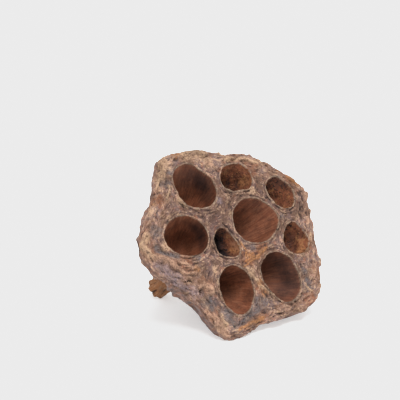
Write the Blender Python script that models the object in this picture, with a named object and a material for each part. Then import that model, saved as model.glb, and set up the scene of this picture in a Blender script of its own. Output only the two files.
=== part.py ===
"""Dried lotus pod with nine seed cells, lying on its rim and its stem stub.

The pod grew as one piece, so it is one closed solid: a crumpled face with nine open
cells, a fluted wall that narrows like a funnel, and the stub of the stem.
It is drawn in a frame of its own, in millimetres: u to the pod's right, v up its face,
and depth from the face towards the stem. Then it is leaned back and set on the ground.
"""

from collections import namedtuple
from math import atan2, ceil, cos, degrees, hypot, radians, sin, sqrt

import bmesh
import bpy
from mathutils import Matrix, Vector, noise
from mathutils.geometry import delaunay_2d_cdt

# Pose on the ground
FACE_LEAN = 31.0            # degrees that the face leans back from upright
FLAT_CUT = 0.5              # how deep the lowest spots are worn flat

# Rim: degrees round the face from its right, and distance from the face's middle
RIM = (
    (-176, 30.5), (-163, 26.5), (-148, 23.5), (-135, 23.5), (-121, 26.5), (-109, 31.3),
    (-95, 29.5), (-80, 28.0), (-62, 30.0), (-45, 35.0), (-28, 34.5), (-8, 32.5),
    (8, 33.0), (21, 35.5), (36, 33.5), (60, 32.0), (80, 30.5), (100, 33.0),
    (118, 34.8), (138, 30.0), (155, 30.0), (169, 31.5),
)
# Rounding between face and wall: inset from the rim, depth, share of the face's height
RIM_ROUND = ((1.7, 0.0, 1.0), (0.85, 0.35, 0.75), (0.25, 1.2, 0.4))
RIM_POINTS = 96

# Wall down to the neck: depth, and the share of the rim's distance that is left there
SHRUNK_WALL = (
    (2.8, 1.0), (5.0, 0.925), (7.5, 0.86), (10.0, 0.785), (12.5, 0.70), (15.5, 0.59),
    (18.5, 0.48), (21.5, 0.375), (24.5, 0.275), (27.0, 0.205),
)
FULL_WALL = (
    (2.8, 1.0), (5.0, 1.015), (7.5, 1.015), (10.0, 0.99), (12.5, 0.935), (15.5, 0.84),
    (18.5, 0.71), (21.5, 0.55), (24.5, 0.37), (27.0, 0.235),
)
NECK = SHRUNK_WALL[-1][0]
ROUND_FROM = 12.0           # depth from which the outline turns round on its way down
COARSE_FROM = 20.0          # depth from which rings have as few points as the stem
# How full the wall is, from 0 to 1: it stayed full over some of the outer cells
FULLNESS = (
    (-176, 0.0), (-160, 0.25), (-146, 0.45), (-128, 0.25), (-108, 0.15), (-92, 0.2),
    (-76, 0.5), (-52, 0.86), (-34, 0.75), (-18, 0.35), (-4, 0.5), (12, 0.25), (30, 0.5),
    (50, 0.2), (70, 0.45), (90, 0.2), (113, 0.5), (138, 0.15), (160, 0.2),
)
RIBS = 11
RIB_HEIGHT = 0.55

# Stem: where its cut end lies, and its radius at each depth
STEM_END = (-9.8, -4.4)
STEM = ((28.5, 4.9), (30.0, 4.0), (32.0, 3.5), (35.0, 3.25), (38.0, 3.35), (40.0, 3.7))
STEM_POINTS = 48
STEM_RIBS = 8
STEM_RIB_HEIGHT = 0.25
STEM_PITH = 0.8             # how deep the pith has sunk in the cut end

# Cells: middle of the mouth, its radius at equal steps round from the right, the cell's
# depth, how far crumbs stand out inside, and the share by which its right wall leans in
Cell = namedtuple("Cell", "middle radii depth crumbs ramp")
CELLS = (
    Cell((-8.0, 20.0), (7.4, 6.4, 8.0, 8.1, 6.2, 6.9, 7.2, 8.2), 14.5, 0.0, 0.0),
    Cell((8.0, 20.5), (5.9, 5.3, 5.0, 5.5, 5.8, 5.2, 4.2, 5.6), 10.5, 0.5, 0.0),
    Cell((22.5, 13.0), (4.9, 4.6, 5.8, 5.6, 4.6, 4.4, 5.3, 5.9), 11.0, 0.35, 0.0),
    Cell((-15.5, 4.5), (7.6, 7.1, 7.0, 7.3, 7.6, 6.4, 6.2, 7.4), 14.0, 0.0, 0.0),
    Cell((10.5, 5.5), (8.6, 7.6, 7.8, 8.2, 8.1, 7.9, 7.3, 7.7), 15.0, 0.0, 0.0),
    Cell((-2.5, 0.0), (4.0, 3.8, 5.3, 4.6, 3.8, 4.2, 4.5, 5.6), 12.5, 0.4, 0.72),
    Cell((23.5, -3.0), (4.8, 4.6, 6.0, 4.8, 4.8, 4.8, 4.9, 5.1), 10.0, 0.45, 0.0),
    Cell((-3.0, -15.0), (6.3, 7.0, 7.8, 6.7, 5.5, 6.5, 8.3, 7.0), 14.0, 0.0, 0.0),
    Cell((14.5, -14.0), (6.4, 7.1, 8.4, 8.2, 6.9, 6.5, 8.5, 8.0), 14.5, 0.0, 0.0),
)
MOUTH_POINTS = 28
CELLS_MEET = 46.0           # depth at which the leaning cells would meet
LIP_WIDTH = 0.6
LIP_HEIGHT = 0.5
# Belly of a cell: share of its depth, and share of the mouth's radius
BELLY = (
    (0.0, 1.0), (0.15, 1.0), (0.35, 0.98), (0.55, 0.93), (0.72, 0.82), (0.86, 0.62),
    (0.95, 0.36),
)

# Face between the cells
NET_STEP = 1.9              # distance between the points of its crumpled net
FACE_DOME = 1.2             # rise of its middle over its edge
CRUMPLE_HEIGHT = 0.45
CRUMPLE_SIZE = 2.6
SWELL_HEIGHT = 0.6
SWELL_SIZE = 9.0

COLOUR = (0.30, 0.17, 0.12, 1.0)
ROUGHNESS = 0.85
METRE = 0.001


def hermite(a, b, slope_a, slope_b, t):
    """Cubic from a to b over a step of one, with a slope at each end."""
    return (
        a * (2 * t**3 - 3 * t**2 + 1)
        + slope_a * (t**3 - 2 * t**2 + t)
        + b * (3 * t**2 - 2 * t**3)
        + slope_b * (t**3 - t**2)
    )


def along(table, x):
    """Smooth value at x from (place, value) pairs in rising order."""
    if x <= table[0][0]:
        return table[0][1]
    if x >= table[-1][0]:
        return table[-1][1]
    i = max(k for k in range(len(table) - 1) if table[k][0] <= x)
    (x0, y0), (x1, y1) = table[i], table[i + 1]
    before = table[max(i - 1, 0)]
    after = table[min(i + 2, len(table) - 1)]
    span = x1 - x0
    slope_0 = (y1 - before[1]) / (x1 - before[0]) * span
    slope_1 = (after[1] - y0) / (after[0] - x0) * span
    return hermite(y0, y1, slope_0, slope_1, (x - x0) / span)


def around(table, angle):
    """Smooth value at an angle from (degrees, value) pairs that close in a circle."""
    wrapped = [(place - 360, value) for place, value in table[-2:]]
    wrapped += list(table)
    wrapped += [(place + 360, value) for place, value in table[:3]]
    first = table[0][0]
    return along(wrapped, (angle - first) % 360 + first)


def evenly(values, angle):
    """Smooth value at an angle from values at equal steps round a circle."""
    step = 360 / len(values)
    return around([(k * step, value) for k, value in enumerate(values)], angle)


def smooth(start, end, x):
    """Rise from 0 at start to 1 at end, level at both."""
    t = min(max((x - start) / (end - start), 0.0), 1.0)
    return t * t * (3 - 2 * t)


def crumple(u, v, depth, size):
    """Irregular relief between about -1 and 1, with bumps of the given size."""
    return noise.noise((u / size, v / size, depth / size + 7.3))


def direction(angle):
    """Unit vector on the face at an angle in degrees."""
    return Vector((cos(radians(angle)), sin(radians(angle))))


def placed(spot, depth):
    """Point of the pod at a spot of the face and a depth under it."""
    return Vector((spot.x, spot.y, -depth))


def centre_line(depth):
    """Middle of the pod's section at a depth. It bends towards the stem's cut end."""
    bend = (max(depth, 0.0) / STEM[-1][0]) ** 1.5
    return Vector(STEM_END) * bend


def face_height(spot):
    """Height of the face between the cells."""
    reach = spot.length / around(RIM, degrees(atan2(spot.y, spot.x)))
    height = FACE_DOME * (0.75 - reach * reach)
    height += CRUMPLE_HEIGHT * crumple(spot.x, spot.y, 0, CRUMPLE_SIZE)
    return height + SWELL_HEIGHT * crumple(spot.x, spot.y, 5, SWELL_SIZE)


def rim_point(angle, inset, depth, share):
    """Point on the rounding between face and wall."""
    spot = direction(angle) * (around(RIM, angle) - inset)
    return placed(spot, depth - share * face_height(spot))


def wall_radius(angle, depth):
    """Distance of the wall from the centre line, ribs left out."""
    rim = around(RIM, angle)
    mean = sum(value for _, value in RIM) / len(RIM)
    outline = rim + (mean - rim) * smooth(ROUND_FROM, NECK, depth)
    shrunk, full = along(SHRUNK_WALL, depth), along(FULL_WALL, depth)
    return outline * (shrunk + (full - shrunk) * around(FULLNESS, angle))


def rib(angle, depth):
    """Height of the ribs that run down the wall into the stem."""
    side = direction(angle)
    sway = 10 * crumple(2 * side.x, 2 * side.y, 0.08 * depth, 1)
    wave = cos(radians((angle + sway) * RIBS))
    fade = smooth(1.5, 8.0, depth) * (1 - 0.5 * smooth(18.0, 28.0, depth))
    return RIB_HEIGHT * fade * (1 - 2 * abs(wave) ** 1.5)


def wall_point(angle, depth):
    """Point of the wall."""
    radius = wall_radius(angle, depth) + rib(angle, depth)
    return placed(centre_line(depth) + direction(angle) * radius, depth)


def stem_point(angle, depth, share=1.0):
    """Point of the stem, on a section that turns square to the stem's own direction."""
    ribs = STEM_RIB_HEIGHT * cos(radians(angle * STEM_RIBS)) * smooth(28.0, 31.0, depth)
    across = direction(angle) * (along(STEM, depth) + ribs) * share
    slope = centre_line(depth + 0.5) - centre_line(depth - 0.5)
    turned = across.dot(slope) * smooth(27.0, 32.0, depth)
    return placed(centre_line(depth) + across, depth - turned)


def mouth_point(cell, angle, offset, rise):
    """Point round a cell's mouth, offset outwards and raised from the face."""
    spot = Vector(cell.middle) + direction(angle) * (evenly(cell.radii, angle) + offset)
    return placed(spot, -face_height(spot) - rise)


def cell_point(cell, angle, share):
    """Point inside a cell at a share of its depth. It leans in as the wall does."""
    depth = cell.depth * share
    mean = sum(cell.radii) / len(cell.radii)
    radius = evenly(cell.radii, angle)
    radius += (0.97 * mean - radius) * smooth(0.1, 0.7, share)
    lumps = Vector(cell.middle) + direction(angle) * 3
    lump = 0.5 + crumple(lumps.x, lumps.y, depth, 1.6)
    radius = radius * along(BELLY, share) - cell.crumbs * lump * smooth(0.05, 0.2, share)
    radius *= 1 - cell.ramp * max(cos(radians(angle)), 0) * smooth(0.0, 0.45, share)
    lean = depth / CELLS_MEET
    spot = Vector(cell.middle) + direction(angle) * radius
    spot = centre_line(CELLS_MEET * 0.8) * lean + spot * (1 - lean)
    mouth = mouth_point(cell, angle, 0, LIP_HEIGHT / 2)
    return placed(spot, depth - mouth.z * smooth(0.4, 0.0, share))


def turn(count):
    """Angles in degrees at equal steps round a circle."""
    return [360 * k / count for k in range(count)]


def ring(mesh, points):
    """Vertices at the points of a ring."""
    return [mesh.verts.new(point) for point in points]


def band(mesh, first, second):
    """Faces between two rings. The first has as many points as the second, or twice."""
    doubled = len(first) // len(second) - 1
    for k, corner in enumerate(second):
        following = second[(k + 1) % len(second)]
        if doubled:
            a, b, c = (first[(2 * k + j) % len(first)] for j in range(3))
            mesh.faces.new((a, corner, b))
            mesh.faces.new((b, corner, following))
            mesh.faces.new((b, following, c))
        else:
            mesh.faces.new((first[k], corner, following, first[(k + 1) % len(first)]))


def close(mesh, last, tip):
    """Fan of triangles from a ring to one point."""
    end = mesh.verts.new(tip)
    for k, corner in enumerate(last):
        mesh.faces.new((corner, last[(k + 1) % len(last)], end))


def middle_of(points):
    """Mean of some points."""
    return sum(points, points[0] * 0) / len(points)


def gap_to(loop, spot):
    """Distance of a spot from a closed outline."""
    gaps = []
    for a, b in zip(loop, loop[1:] + loop[:1]):
        share = (spot - a).dot(b - a) / (b - a).length_squared
        gaps.append((spot - a - (b - a) * min(max(share, 0), 1)).length)
    return min(gaps)


def encloses(loop, spot):
    """Whether a closed outline goes round a spot."""
    inside = False
    for a, b in zip(loop, loop[1:] + loop[:1]):
        if (a.y > spot.y) != (b.y > spot.y):
            crossing = a.x + (spot.y - a.y) * (b.x - a.x) / (b.y - a.y)
            inside ^= spot.x < crossing
    return inside


def on_face(outline, mouths, spot):
    """Whether a spot is on the face between the cells."""
    return encloses(outline, spot) and not any(encloses(loop, spot) for loop in mouths)


def net_spots(outline, mouths):
    """Spots of the crumpled net: a jittered lattice, clear of the edges."""
    spots = []
    row_step = NET_STEP * sqrt(3) / 2
    rows = ceil(max(value for _, value in RIM) / row_step)
    for row in range(-rows, rows + 1):
        for column in range(-rows, rows + 1):
            place = Vector(((column + row % 2 / 2) * NET_STEP, row * row_step))
            jitter = noise.noise_vector((3.7 * place.x, 3.7 * place.y, 1.5))
            spot = place + Vector(jitter[:2]) * 0.3 * NET_STEP
            clear = min(gap_to(loop, spot) for loop in [outline] + mouths) > 0.5 * NET_STEP
            if clear and on_face(outline, mouths, spot):
                spots.append(spot)
    return spots


def fill_face(mesh, edge, lips):
    """Triangles of the face between its edge and the lips' outer rings."""
    loops = [[Vector(corner.co[:2]) for corner in loop] for loop in [edge] + lips]
    corners = [corner for loop in [edge] + lips for corner in loop]
    spots = net_spots(loops[0], loops[1:])
    borders = []
    for loop in loops:
        first = len(borders)
        borders += [(first + k, first + (k + 1) % len(loop)) for k in range(len(loop))]
    outline_spots = [spot for loop in loops for spot in loop]
    drawn = delaunay_2d_cdt(outline_spots + spots, borders, [], 0, 1e-5)
    places, triangles, sources = drawn[0], drawn[2], drawn[3]
    corners += ring(mesh, [placed(spot, -face_height(spot)) for spot in spots])
    for triangle in triangles:
        if on_face(loops[0], loops[1:], middle_of([places[i] for i in triangle])):
            mesh.faces.new([corners[sources[i][0]] for i in triangle])


def add_cell(mesh, cell):
    """One cell with its raised lip. Returns the lip's outer ring."""
    angles = turn(MOUTH_POINTS)
    outer = ring(mesh, [mouth_point(cell, a, LIP_WIDTH, 0) for a in angles])
    last = ring(mesh, [mouth_point(cell, a, LIP_WIDTH * 0.4, LIP_HEIGHT) for a in angles])
    band(mesh, outer, last)
    for share, _ in BELLY:
        deeper = ring(mesh, [cell_point(cell, a, share) for a in angles])
        band(mesh, last, deeper)
        last = deeper
    close(mesh, last, middle_of([cell_point(cell, a, 1.0) for a in angles]))
    return outer


def add_wall(mesh):
    """Wall and stem, from the face's edge to the cut end. Returns the face's edge."""
    angles, few = turn(RIM_POINTS), turn(STEM_POINTS)
    rings = [[rim_point(a, *place) for a in angles] for place in RIM_ROUND]
    for depth, _ in SHRUNK_WALL:
        chosen = angles if depth < COARSE_FROM else few
        rings.append([wall_point(a, depth) for a in chosen])
    rings += [[stem_point(a, depth) for a in few] for depth, _ in STEM]
    edge = last = ring(mesh, rings[0])
    for points in rings[1:]:
        lower = ring(mesh, points)
        band(mesh, last, lower)
        last = lower
    end = STEM[-1][0]
    sunk = Vector((0, 0, STEM_PITH))
    pith = ring(mesh, [stem_point(a, end, 0.6) + sunk for a in few[::2]])
    band(mesh, last, pith)
    close(mesh, pith, middle_of([corner.co for corner in pith]))
    return edge


def set_on_ground(mesh):
    """Leans the pod back, wears its lowest spots flat and centres it over the origin."""
    lean = Matrix.Rotation(radians(90 - FACE_LEAN), 4, "X")
    bmesh.ops.transform(mesh, matrix=lean, verts=mesh.verts)
    lowest = min(corner.co.z for corner in mesh.verts)
    bmesh.ops.translate(mesh, vec=(0, 0, -lowest - FLAT_CUT), verts=mesh.verts)
    everything = mesh.verts[:] + mesh.edges[:] + mesh.faces[:]
    bmesh.ops.bisect_plane(
        mesh, geom=everything, plane_co=(0, 0, 0), plane_no=(0, 0, -1), clear_outer=True
    )
    worn = [edge for edge in mesh.edges if edge.is_boundary]
    bmesh.ops.holes_fill(mesh, edges=worn)
    across = [corner.co.x for corner in mesh.verts]
    back = [corner.co.y for corner in mesh.verts]
    centre = Vector((max(across) + min(across), max(back) + min(back), 0)) / 2
    bmesh.ops.translate(mesh, vec=-centre, verts=mesh.verts)
    bmesh.ops.scale(mesh, vec=(METRE, METRE, METRE), verts=mesh.verts)


def husk_material():
    """Dull brown of the dried husk."""
    material = bpy.data.materials.new("dried_husk")
    material.use_nodes = True
    shader = material.node_tree.nodes["Principled BSDF"]
    shader.inputs["Base Color"].default_value = COLOUR
    shader.inputs["Roughness"].default_value = ROUGHNESS
    shader.inputs["Metallic"].default_value = 0.0
    return material


def make_pod():
    """The whole pod as one closed mesh."""
    mesh = bmesh.new()
    edge = add_wall(mesh)
    lips = [add_cell(mesh, cell) for cell in CELLS]
    fill_face(mesh, edge, lips)
    set_on_ground(mesh)
    bmesh.ops.triangulate(mesh, faces=mesh.faces)
    bmesh.ops.recalc_face_normals(mesh, faces=mesh.faces)
    data = bpy.data.meshes.new("lotus_pod")
    mesh.to_mesh(data)
    mesh.free()
    data.shade_smooth()
    data.materials.append(husk_material())
    return bpy.data.objects.new("lotus_pod", data)


def main():
    """Clears the scene and adds the pod in a collection of its own."""
    for old in list(bpy.data.objects):
        bpy.data.objects.remove(old)
    pods = bpy.data.collections.new("dried_lotus_pod")
    bpy.context.scene.collection.children.link(pods)
    pods.objects.link(make_pod())


main()
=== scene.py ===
"""Dried lotus pod on a pale studio floor.

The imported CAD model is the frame. One finely drawn husk stands for its solid: the same
face, cells, wall and stem, with the relief of dried husk on them. It is drawn in a frame of
its own, in millimetres: u to the pod's right, v up its face, and depth from the face towards
the stem. Loose strings on the margin and crumbs in the small cells are spread over it by
Geometry Nodes.
"""

from collections import namedtuple
from math import ceil, cos, pi, radians, sin, sqrt

import bpy
import numpy as np
from mathutils import Matrix, Vector, noise
from mathutils.geometry import delaunay_2d_cdt


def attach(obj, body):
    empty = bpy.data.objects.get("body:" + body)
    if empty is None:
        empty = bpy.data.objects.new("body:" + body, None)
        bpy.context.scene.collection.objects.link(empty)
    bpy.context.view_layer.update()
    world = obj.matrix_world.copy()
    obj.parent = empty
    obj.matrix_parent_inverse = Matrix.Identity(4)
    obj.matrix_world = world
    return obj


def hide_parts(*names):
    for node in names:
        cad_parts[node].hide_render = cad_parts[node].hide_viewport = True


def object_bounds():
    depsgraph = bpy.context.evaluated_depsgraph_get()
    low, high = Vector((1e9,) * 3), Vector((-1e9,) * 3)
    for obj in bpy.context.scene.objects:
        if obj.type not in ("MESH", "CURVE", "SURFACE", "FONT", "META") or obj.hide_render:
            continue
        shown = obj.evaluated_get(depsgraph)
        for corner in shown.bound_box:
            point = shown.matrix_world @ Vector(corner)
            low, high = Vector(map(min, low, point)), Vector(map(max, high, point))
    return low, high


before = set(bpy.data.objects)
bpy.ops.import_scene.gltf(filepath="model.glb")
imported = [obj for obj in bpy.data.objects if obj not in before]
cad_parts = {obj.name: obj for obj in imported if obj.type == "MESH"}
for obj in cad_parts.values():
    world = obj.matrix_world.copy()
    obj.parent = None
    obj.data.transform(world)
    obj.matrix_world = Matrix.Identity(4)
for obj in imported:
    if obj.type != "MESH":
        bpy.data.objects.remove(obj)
cad_low, cad_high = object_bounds()

METRE = 0.001

# Pose on the ground: lean of the face, and where its middle lies, in millimetres
FACE_LEAN = 31.0
FACE_MIDDLE = (-0.87, -10.0, 27.13)

# Rim: degrees round the face from its right, and distance from the face's middle
RIM = (
    (-176, 30.5), (-163, 26.5), (-148, 23.5), (-135, 23.5), (-121, 26.5), (-109, 31.3),
    (-95, 29.5), (-80, 28.0), (-62, 30.0), (-45, 35.0), (-28, 34.5), (-8, 32.5),
    (8, 33.0), (21, 35.5), (36, 33.5), (60, 32.0), (80, 30.5), (100, 33.0),
    (118, 34.8), (138, 30.0), (155, 30.0), (169, 31.5),
)
# Rounding between face and wall: inset from the rim, depth, share of the face's height
RIM_INSET = ((0, 1.7), (1, 0.85), (2, 0.25), (3, 0.0))
RIM_DEPTH = ((0, 0.0), (1, 0.35), (2, 1.2), (3, 2.8))
RIM_SHARE = ((0, 1.0), (1, 0.75), (2, 0.4), (3, 0.0))
RIM_STEPS = 12
EDGE_INSET = RIM_INSET[0][1]

# Wall down to the neck: depth, and the share of the rim's distance that is left there
SHRUNK_WALL = (
    (2.8, 1.0), (5.0, 0.925), (7.5, 0.86), (10.0, 0.785), (12.5, 0.70), (15.5, 0.59),
    (18.5, 0.48), (21.5, 0.375), (24.5, 0.275), (27.0, 0.205),
)
FULL_WALL = (
    (2.8, 1.0), (5.0, 1.015), (7.5, 1.015), (10.0, 0.99), (12.5, 0.935), (15.5, 0.84),
    (18.5, 0.71), (21.5, 0.55), (24.5, 0.37), (27.0, 0.235),
)
WALL_TOP, NECK = SHRUNK_WALL[0][0], SHRUNK_WALL[-1][0]
ROUND_FROM = 12.0
# How full the wall is, from 0 to 1: it stayed full over some of the outer cells
FULLNESS = (
    (-176, 0.0), (-160, 0.25), (-146, 0.45), (-128, 0.25), (-108, 0.15), (-92, 0.2),
    (-76, 0.5), (-52, 0.86), (-34, 0.75), (-18, 0.35), (-4, 0.5), (12, 0.25), (30, 0.5),
    (50, 0.2), (70, 0.45), (90, 0.2), (113, 0.5), (138, 0.15), (160, 0.2),
)
RIBS = 11
RIB_HEIGHT = 0.55
WALL_POINTS = 480           # round the rim; the lower wall has half, the stem a quarter
WALL_STEP = 0.5
HALF_FROM = 15.0            # depth from which rings have half as many points
SHELF_SIZE = 31.0           # distance from the middle at which wall streaks are drawn

# Stem: where its cut end lies, and its radius at each depth
STEM_END = (-9.8, -4.4)
STEM = ((28.5, 4.9), (30.0, 4.0), (32.0, 3.5), (35.0, 3.25), (38.0, 3.35), (40.0, 3.7))
STEM_TOP, STEM_TIP = STEM[0][0], STEM[-1][0]
STEM_RIBS = 8
STEM_RIB_HEIGHT = 0.25
STEM_PITH = 0.8
STEM_STEP = 0.4
PITH_SHARES = (0.96, 0.88, 0.78, 0.68, 0.58, 0.46, 0.34, 0.2, 0.08)

# Cells: middle of the mouth, its radius at equal steps round from the right, the cell's
# depth, how far crumbs stand out inside, and the share by which its right wall leans in
Cell = namedtuple("Cell", "middle radii depth crumbs ramp")
CELLS = (
    Cell((-8.0, 20.0), (7.4, 6.4, 8.0, 8.1, 6.2, 6.9, 7.2, 8.2), 14.5, 0.0, 0.0),
    Cell((8.0, 20.5), (5.9, 5.3, 5.0, 5.5, 5.8, 5.2, 4.2, 5.6), 10.5, 0.5, 0.0),
    Cell((22.5, 13.0), (4.9, 4.6, 5.8, 5.6, 4.6, 4.4, 5.3, 5.9), 11.0, 0.35, 0.0),
    Cell((-15.5, 4.5), (7.6, 7.1, 7.0, 7.3, 7.6, 6.4, 6.2, 7.4), 14.0, 0.0, 0.0),
    Cell((10.5, 5.5), (8.6, 7.6, 7.8, 8.2, 8.1, 7.9, 7.3, 7.7), 15.0, 0.0, 0.0),
    Cell((-2.5, 0.0), (4.0, 3.8, 5.3, 4.6, 3.8, 4.2, 4.5, 5.6), 12.5, 0.4, 0.72),
    Cell((23.5, -3.0), (4.8, 4.6, 6.0, 4.8, 4.8, 4.8, 4.9, 5.1), 10.0, 0.45, 0.0),
    Cell((-3.0, -15.0), (6.3, 7.0, 7.8, 6.7, 5.5, 6.5, 8.3, 7.0), 14.0, 0.0, 0.0),
    Cell((14.5, -14.0), (6.4, 7.1, 8.4, 8.2, 6.9, 6.5, 8.5, 8.0), 14.5, 0.0, 0.0),
)
MOUTH_POINTS = 104
CELLS_MEET = 46.0
LIP_HEIGHT = 0.5
# Section of a lip, from the face into the cell: offset from the mouth, and rise
LIP = ((0.6, 0.0), (0.5, 0.13), (0.38, 0.27), (0.25, 0.34), (0.12, 0.31), (0.04, 0.27))
LIP_WIDTH = LIP[0][0]
# Belly of a cell: share of its depth, and share of the mouth's radius
BELLY = (
    (0.0, 1.0), (0.15, 1.0), (0.35, 0.98), (0.55, 0.93), (0.72, 0.82), (0.86, 0.62),
    (0.95, 0.36), (0.985, 0.19), (1.0, 0.06),
)
CELL_RINGS = 30

# Face between the cells
NET_STEP = 0.28
FACE_DOME = 1.2
CRUMPLE_HEIGHT, CRUMPLE_SIZE = 0.45, 2.6
SWELL_HEIGHT, SWELL_SIZE = 0.6, 9.0

# Patches of the face: their places, and how far they reach
PATCHES = {
    "rust": (
        (-21.4, 17.9, 2.9), (-28.6, 7.6, 2.6), (-30.1, 3.6, 2.3), (-27.4, 0.9, 2.9),
        (-20.9, -1.3, 3.1), (-18.1, -4.0, 2.9), (-13.8, -11.7, 3.1), (-13.1, -21.3, 2.3),
        (-2.9, -26.6, 2.3), (4.0, -24.7, 3.4), (6.5, -16.9, 2.9), (4.6, -5.8, 2.9),
        (9.0, -3.9, 3.4), (15.0, 23.0, 2.9), (9.9, 27.5, 2.1), (28.1, 17.5, 2.3),
        (27.8, -5.5, 2.1), (28.5, -14.2, 2.3), (23.6, -23.5, 2.9),
    ),
    "slate": (
        (-16.8, 22.8, 2.0), (-25.3, 8.0, 2.6), (-13.0, -17.4, 2.9), (-7.9, -22.3, 2.9),
        (-5.7, -26.0, 1.8), (0.7, -22.0, 2.9), (5.2, -20.9, 3.4), (23.9, -14.0, 1.6),
        (23.3, -18.3, 2.1), (4.7, 4.2, 1.3), (6.8, -2.8, 1.4), (20.9, 5.6, 1.2),
        (-13.1, -2.6, 1.4), (-18.2, 23.2, 1.6), (-14.8, 26.1, 1.4), (23.6, -12.2, 0.9),
        (2.4, -22.8, 2.4), (-1.7, -24.6, 1.8),
    ),
    "cream": (
        (-6.6, 31.3, 2.9), (-2.2, 31.0, 3.1), (-0.1, 28.0, 2.0), (5.7, 29.9, 2.1),
        (19.8, 26.1, 2.1), (-15.9, 29.4, 3.1), (-17.8, 25.6, 2.3), (-11.2, -25.9, 1.8),
        (-25.5, 15.0, 2.1), (-23.0, 3.5, 1.8), (-8.5, -7.6, 1.2), (4.2, -10.6, 1.6),
        (12.4, 15.6, 1.4), (-4.5, 31.6, 2.4), (-17.0, 28.6, 2.2),
    ),
    "lilac": (
        (-26.3, -1.6, 2.3), (-22.4, -6.5, 2.9), (-17.0, -12.5, 2.6), (-24.5, -4.5, 2.1),
        (-0.5, 14.5, 1.3), (-25.6, -4.1, 2.0),
    ),
    "orange": (
        (1.4, -1.8, 1.8), (12.2, 19.4, 1.7), (25.9, -6.6, 1.4), (5.3, -5.3, 1.3),
        (9.7, -4.5, 1.1), (5.9, -14.5, 1.2), (6.8, -18.2, 1.2), (-24.1, 17.3, 0.9),
        (-10.6, 31.6, 1.2), (-14.5, -6.2, 1.2),
    ),
    "dusk": (
        (-4.0, 8.6, 3.4), (-6.6, 11.5, 1.9), (29.2, 8.3, 1.6), (-11.1, -5.9, 1.0),
        (0.5, 12.7, 1.3), (-8.5, -4.8, 1.2), (30.2, 0.6, 1.3), (7.9, -2.2, 1.3),
        (4.0, -4.4, 1.0), (19.5, 8.7, 1.3), (0.6, 3.4, 1.3), (-18.2, 15.0, 1.8),
        (-4.3, -5.0, 1.2), (-14.2, 11.4, 1.6),
    ),
}
# Ridges and creases of the face: their colour, height and width, and u and v of each place
# that they run through
FOLDS = (
    ("cream", 0.2, 1.0, (-28.7, 7.2, -30.4, 4.7, -29.6, 1.3, -27.4, 0.0)),
    ("apricot", 0.7, 1.1, (-27.4, 0.0, -24.8, -1.2, -22.4, -2.8, -21.7, -4.1)),
    ("slate", -0.5, 0.9, (-26.5, 2.7, -24.8, 1.1, -22.6, 0.2, -20.2, -1.4)),
    ("lilac", 0.2, 1.1, (-27.7, -2.5, -25.6, -4.1, -23.7, -7.2, -22.4, -9.8, -19.9, -11.6)),
    ("apricot", 0.5, 0.5, (-21.1, -3.7, -20.0, -5.1, -18.4, -6.6, -15.6, -7.8)),
    ("apricot", 0.4, 0.5, (-20.3, -2.5, -17.7, -4.3, -15.6, -5.9, -13.8, -7.7)),
    ("apricot", 0.6, 1.1, (-15.3, -11.6, -13.5, -11.2, -12.0, -12.3, -12.0, -13.8)),
    ("apricot", 0.4, 0.9, (-15.0, -19.7, -12.6, -22.2, -11.2, -26.0, -9.6, -28.8)),
    ("orange", 0.4, 0.6, (-5.5, -27.6, -2.5, -27.2, 1.2, -26.2, 4.6, -25.6)),
    ("cream", 0.4, 0.4, (-10.0, -21.9, -9.4, -25.3)),
    ("slate", -0.2, 0.9, (-8.6, -21.0, -6.8, -24.3, -6.7, -25.8)),
    ("slate", -0.2, 1.3, (-3.8, -25.7, -0.4, -24.1, 3.8, -22.4)),
    ("slate", -0.3, 0.9, (-12.4, -14.9, -12.5, -17.2, -12.5, -19.5)),
    ("cream", 0.3, 0.5, (3.1, -9.0, 4.3, -11.5, 5.6, -13.8, 7.4, -16.7, 9.7, -19.4)),
    ("cream", 0.6, 0.8, (-8.0, 31.5, -5.2, 32.1, -2.7, 31.5, -1.6, 29.8, -0.8, 27.3)),
    ("apricot", 0.4, 0.6, (-0.8, 27.3, 0.6, 26.6)),
    ("cream", 0.4, 0.6, (-15.4, 31.4, -16.5, 29.2, -17.9, 26.3, -20.0, 22.3)),
    ("cream", 0.4, 0.4, (-16.8, 21.8, -16.6, 19.9, -18.4, 18.3)),
    ("cream", 0.4, 0.4, (-14.5, 18.1, -14.2, 15.7, -12.7, 13.8)),
    ("orange", 0.4, 0.6, (25.5, 21.5, 27.9, 17.9, 30.3, 15.1)),
    ("apricot", 0.4, 0.5, (30.3, 15.1, 32.4, 12.8, 32.7, 9.3)),
    ("apricot", 0.4, 0.4, (29.8, 3.5, 29.9, 1.6)),
    ("cream", 0.3, 0.4, (29.8, -1.9, 29.4, -5.5)),
    ("apricot", 0.5, 0.6, (27.5, -12.3, 27.4, -16.9)),
    ("slate", -0.7, 0.5, (24.3, -15.8, 24.7, -18.9)),
    ("cream", 0.4, 0.4, (23.0, -17.4, 24.7, -20.1)),
    ("cream", 0.3, 0.5, (6.3, 27.0, 10.9, 27.0, 15.1, 25.7, 17.6, 24.0)),
    ("orange", 0.2, 0.25, (3.6, -6.5, 6.6, -5.8, 9.0, -4.7, 12.0, -4.0)),
    ("orange", 0.2, 0.25, (2.4, -8.1, 5.6, -6.8, 7.9, -6.0)),
    ("apricot", 0.2, 0.25, (11.0, -1.4, 13.9, 0.0, 15.8, 0.6)),
    ("orange", 0.2, 0.25, (2.8, -0.5, 4.1, -3.7, 3.7, -6.3)),
)
FOLD_SWAY = 0.9
RIDGE_STRENGTH, RIDGE_TINT, RIDGE_FROM = 1.3, 1.7, 0.25
# Crease below each ridge: its distance and width as shares of the ridge's, and its depth
CREASE_GAP, CREASE_WIDTH, CREASE_DEPTH = 1.3, 0.7, 0.7
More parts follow.
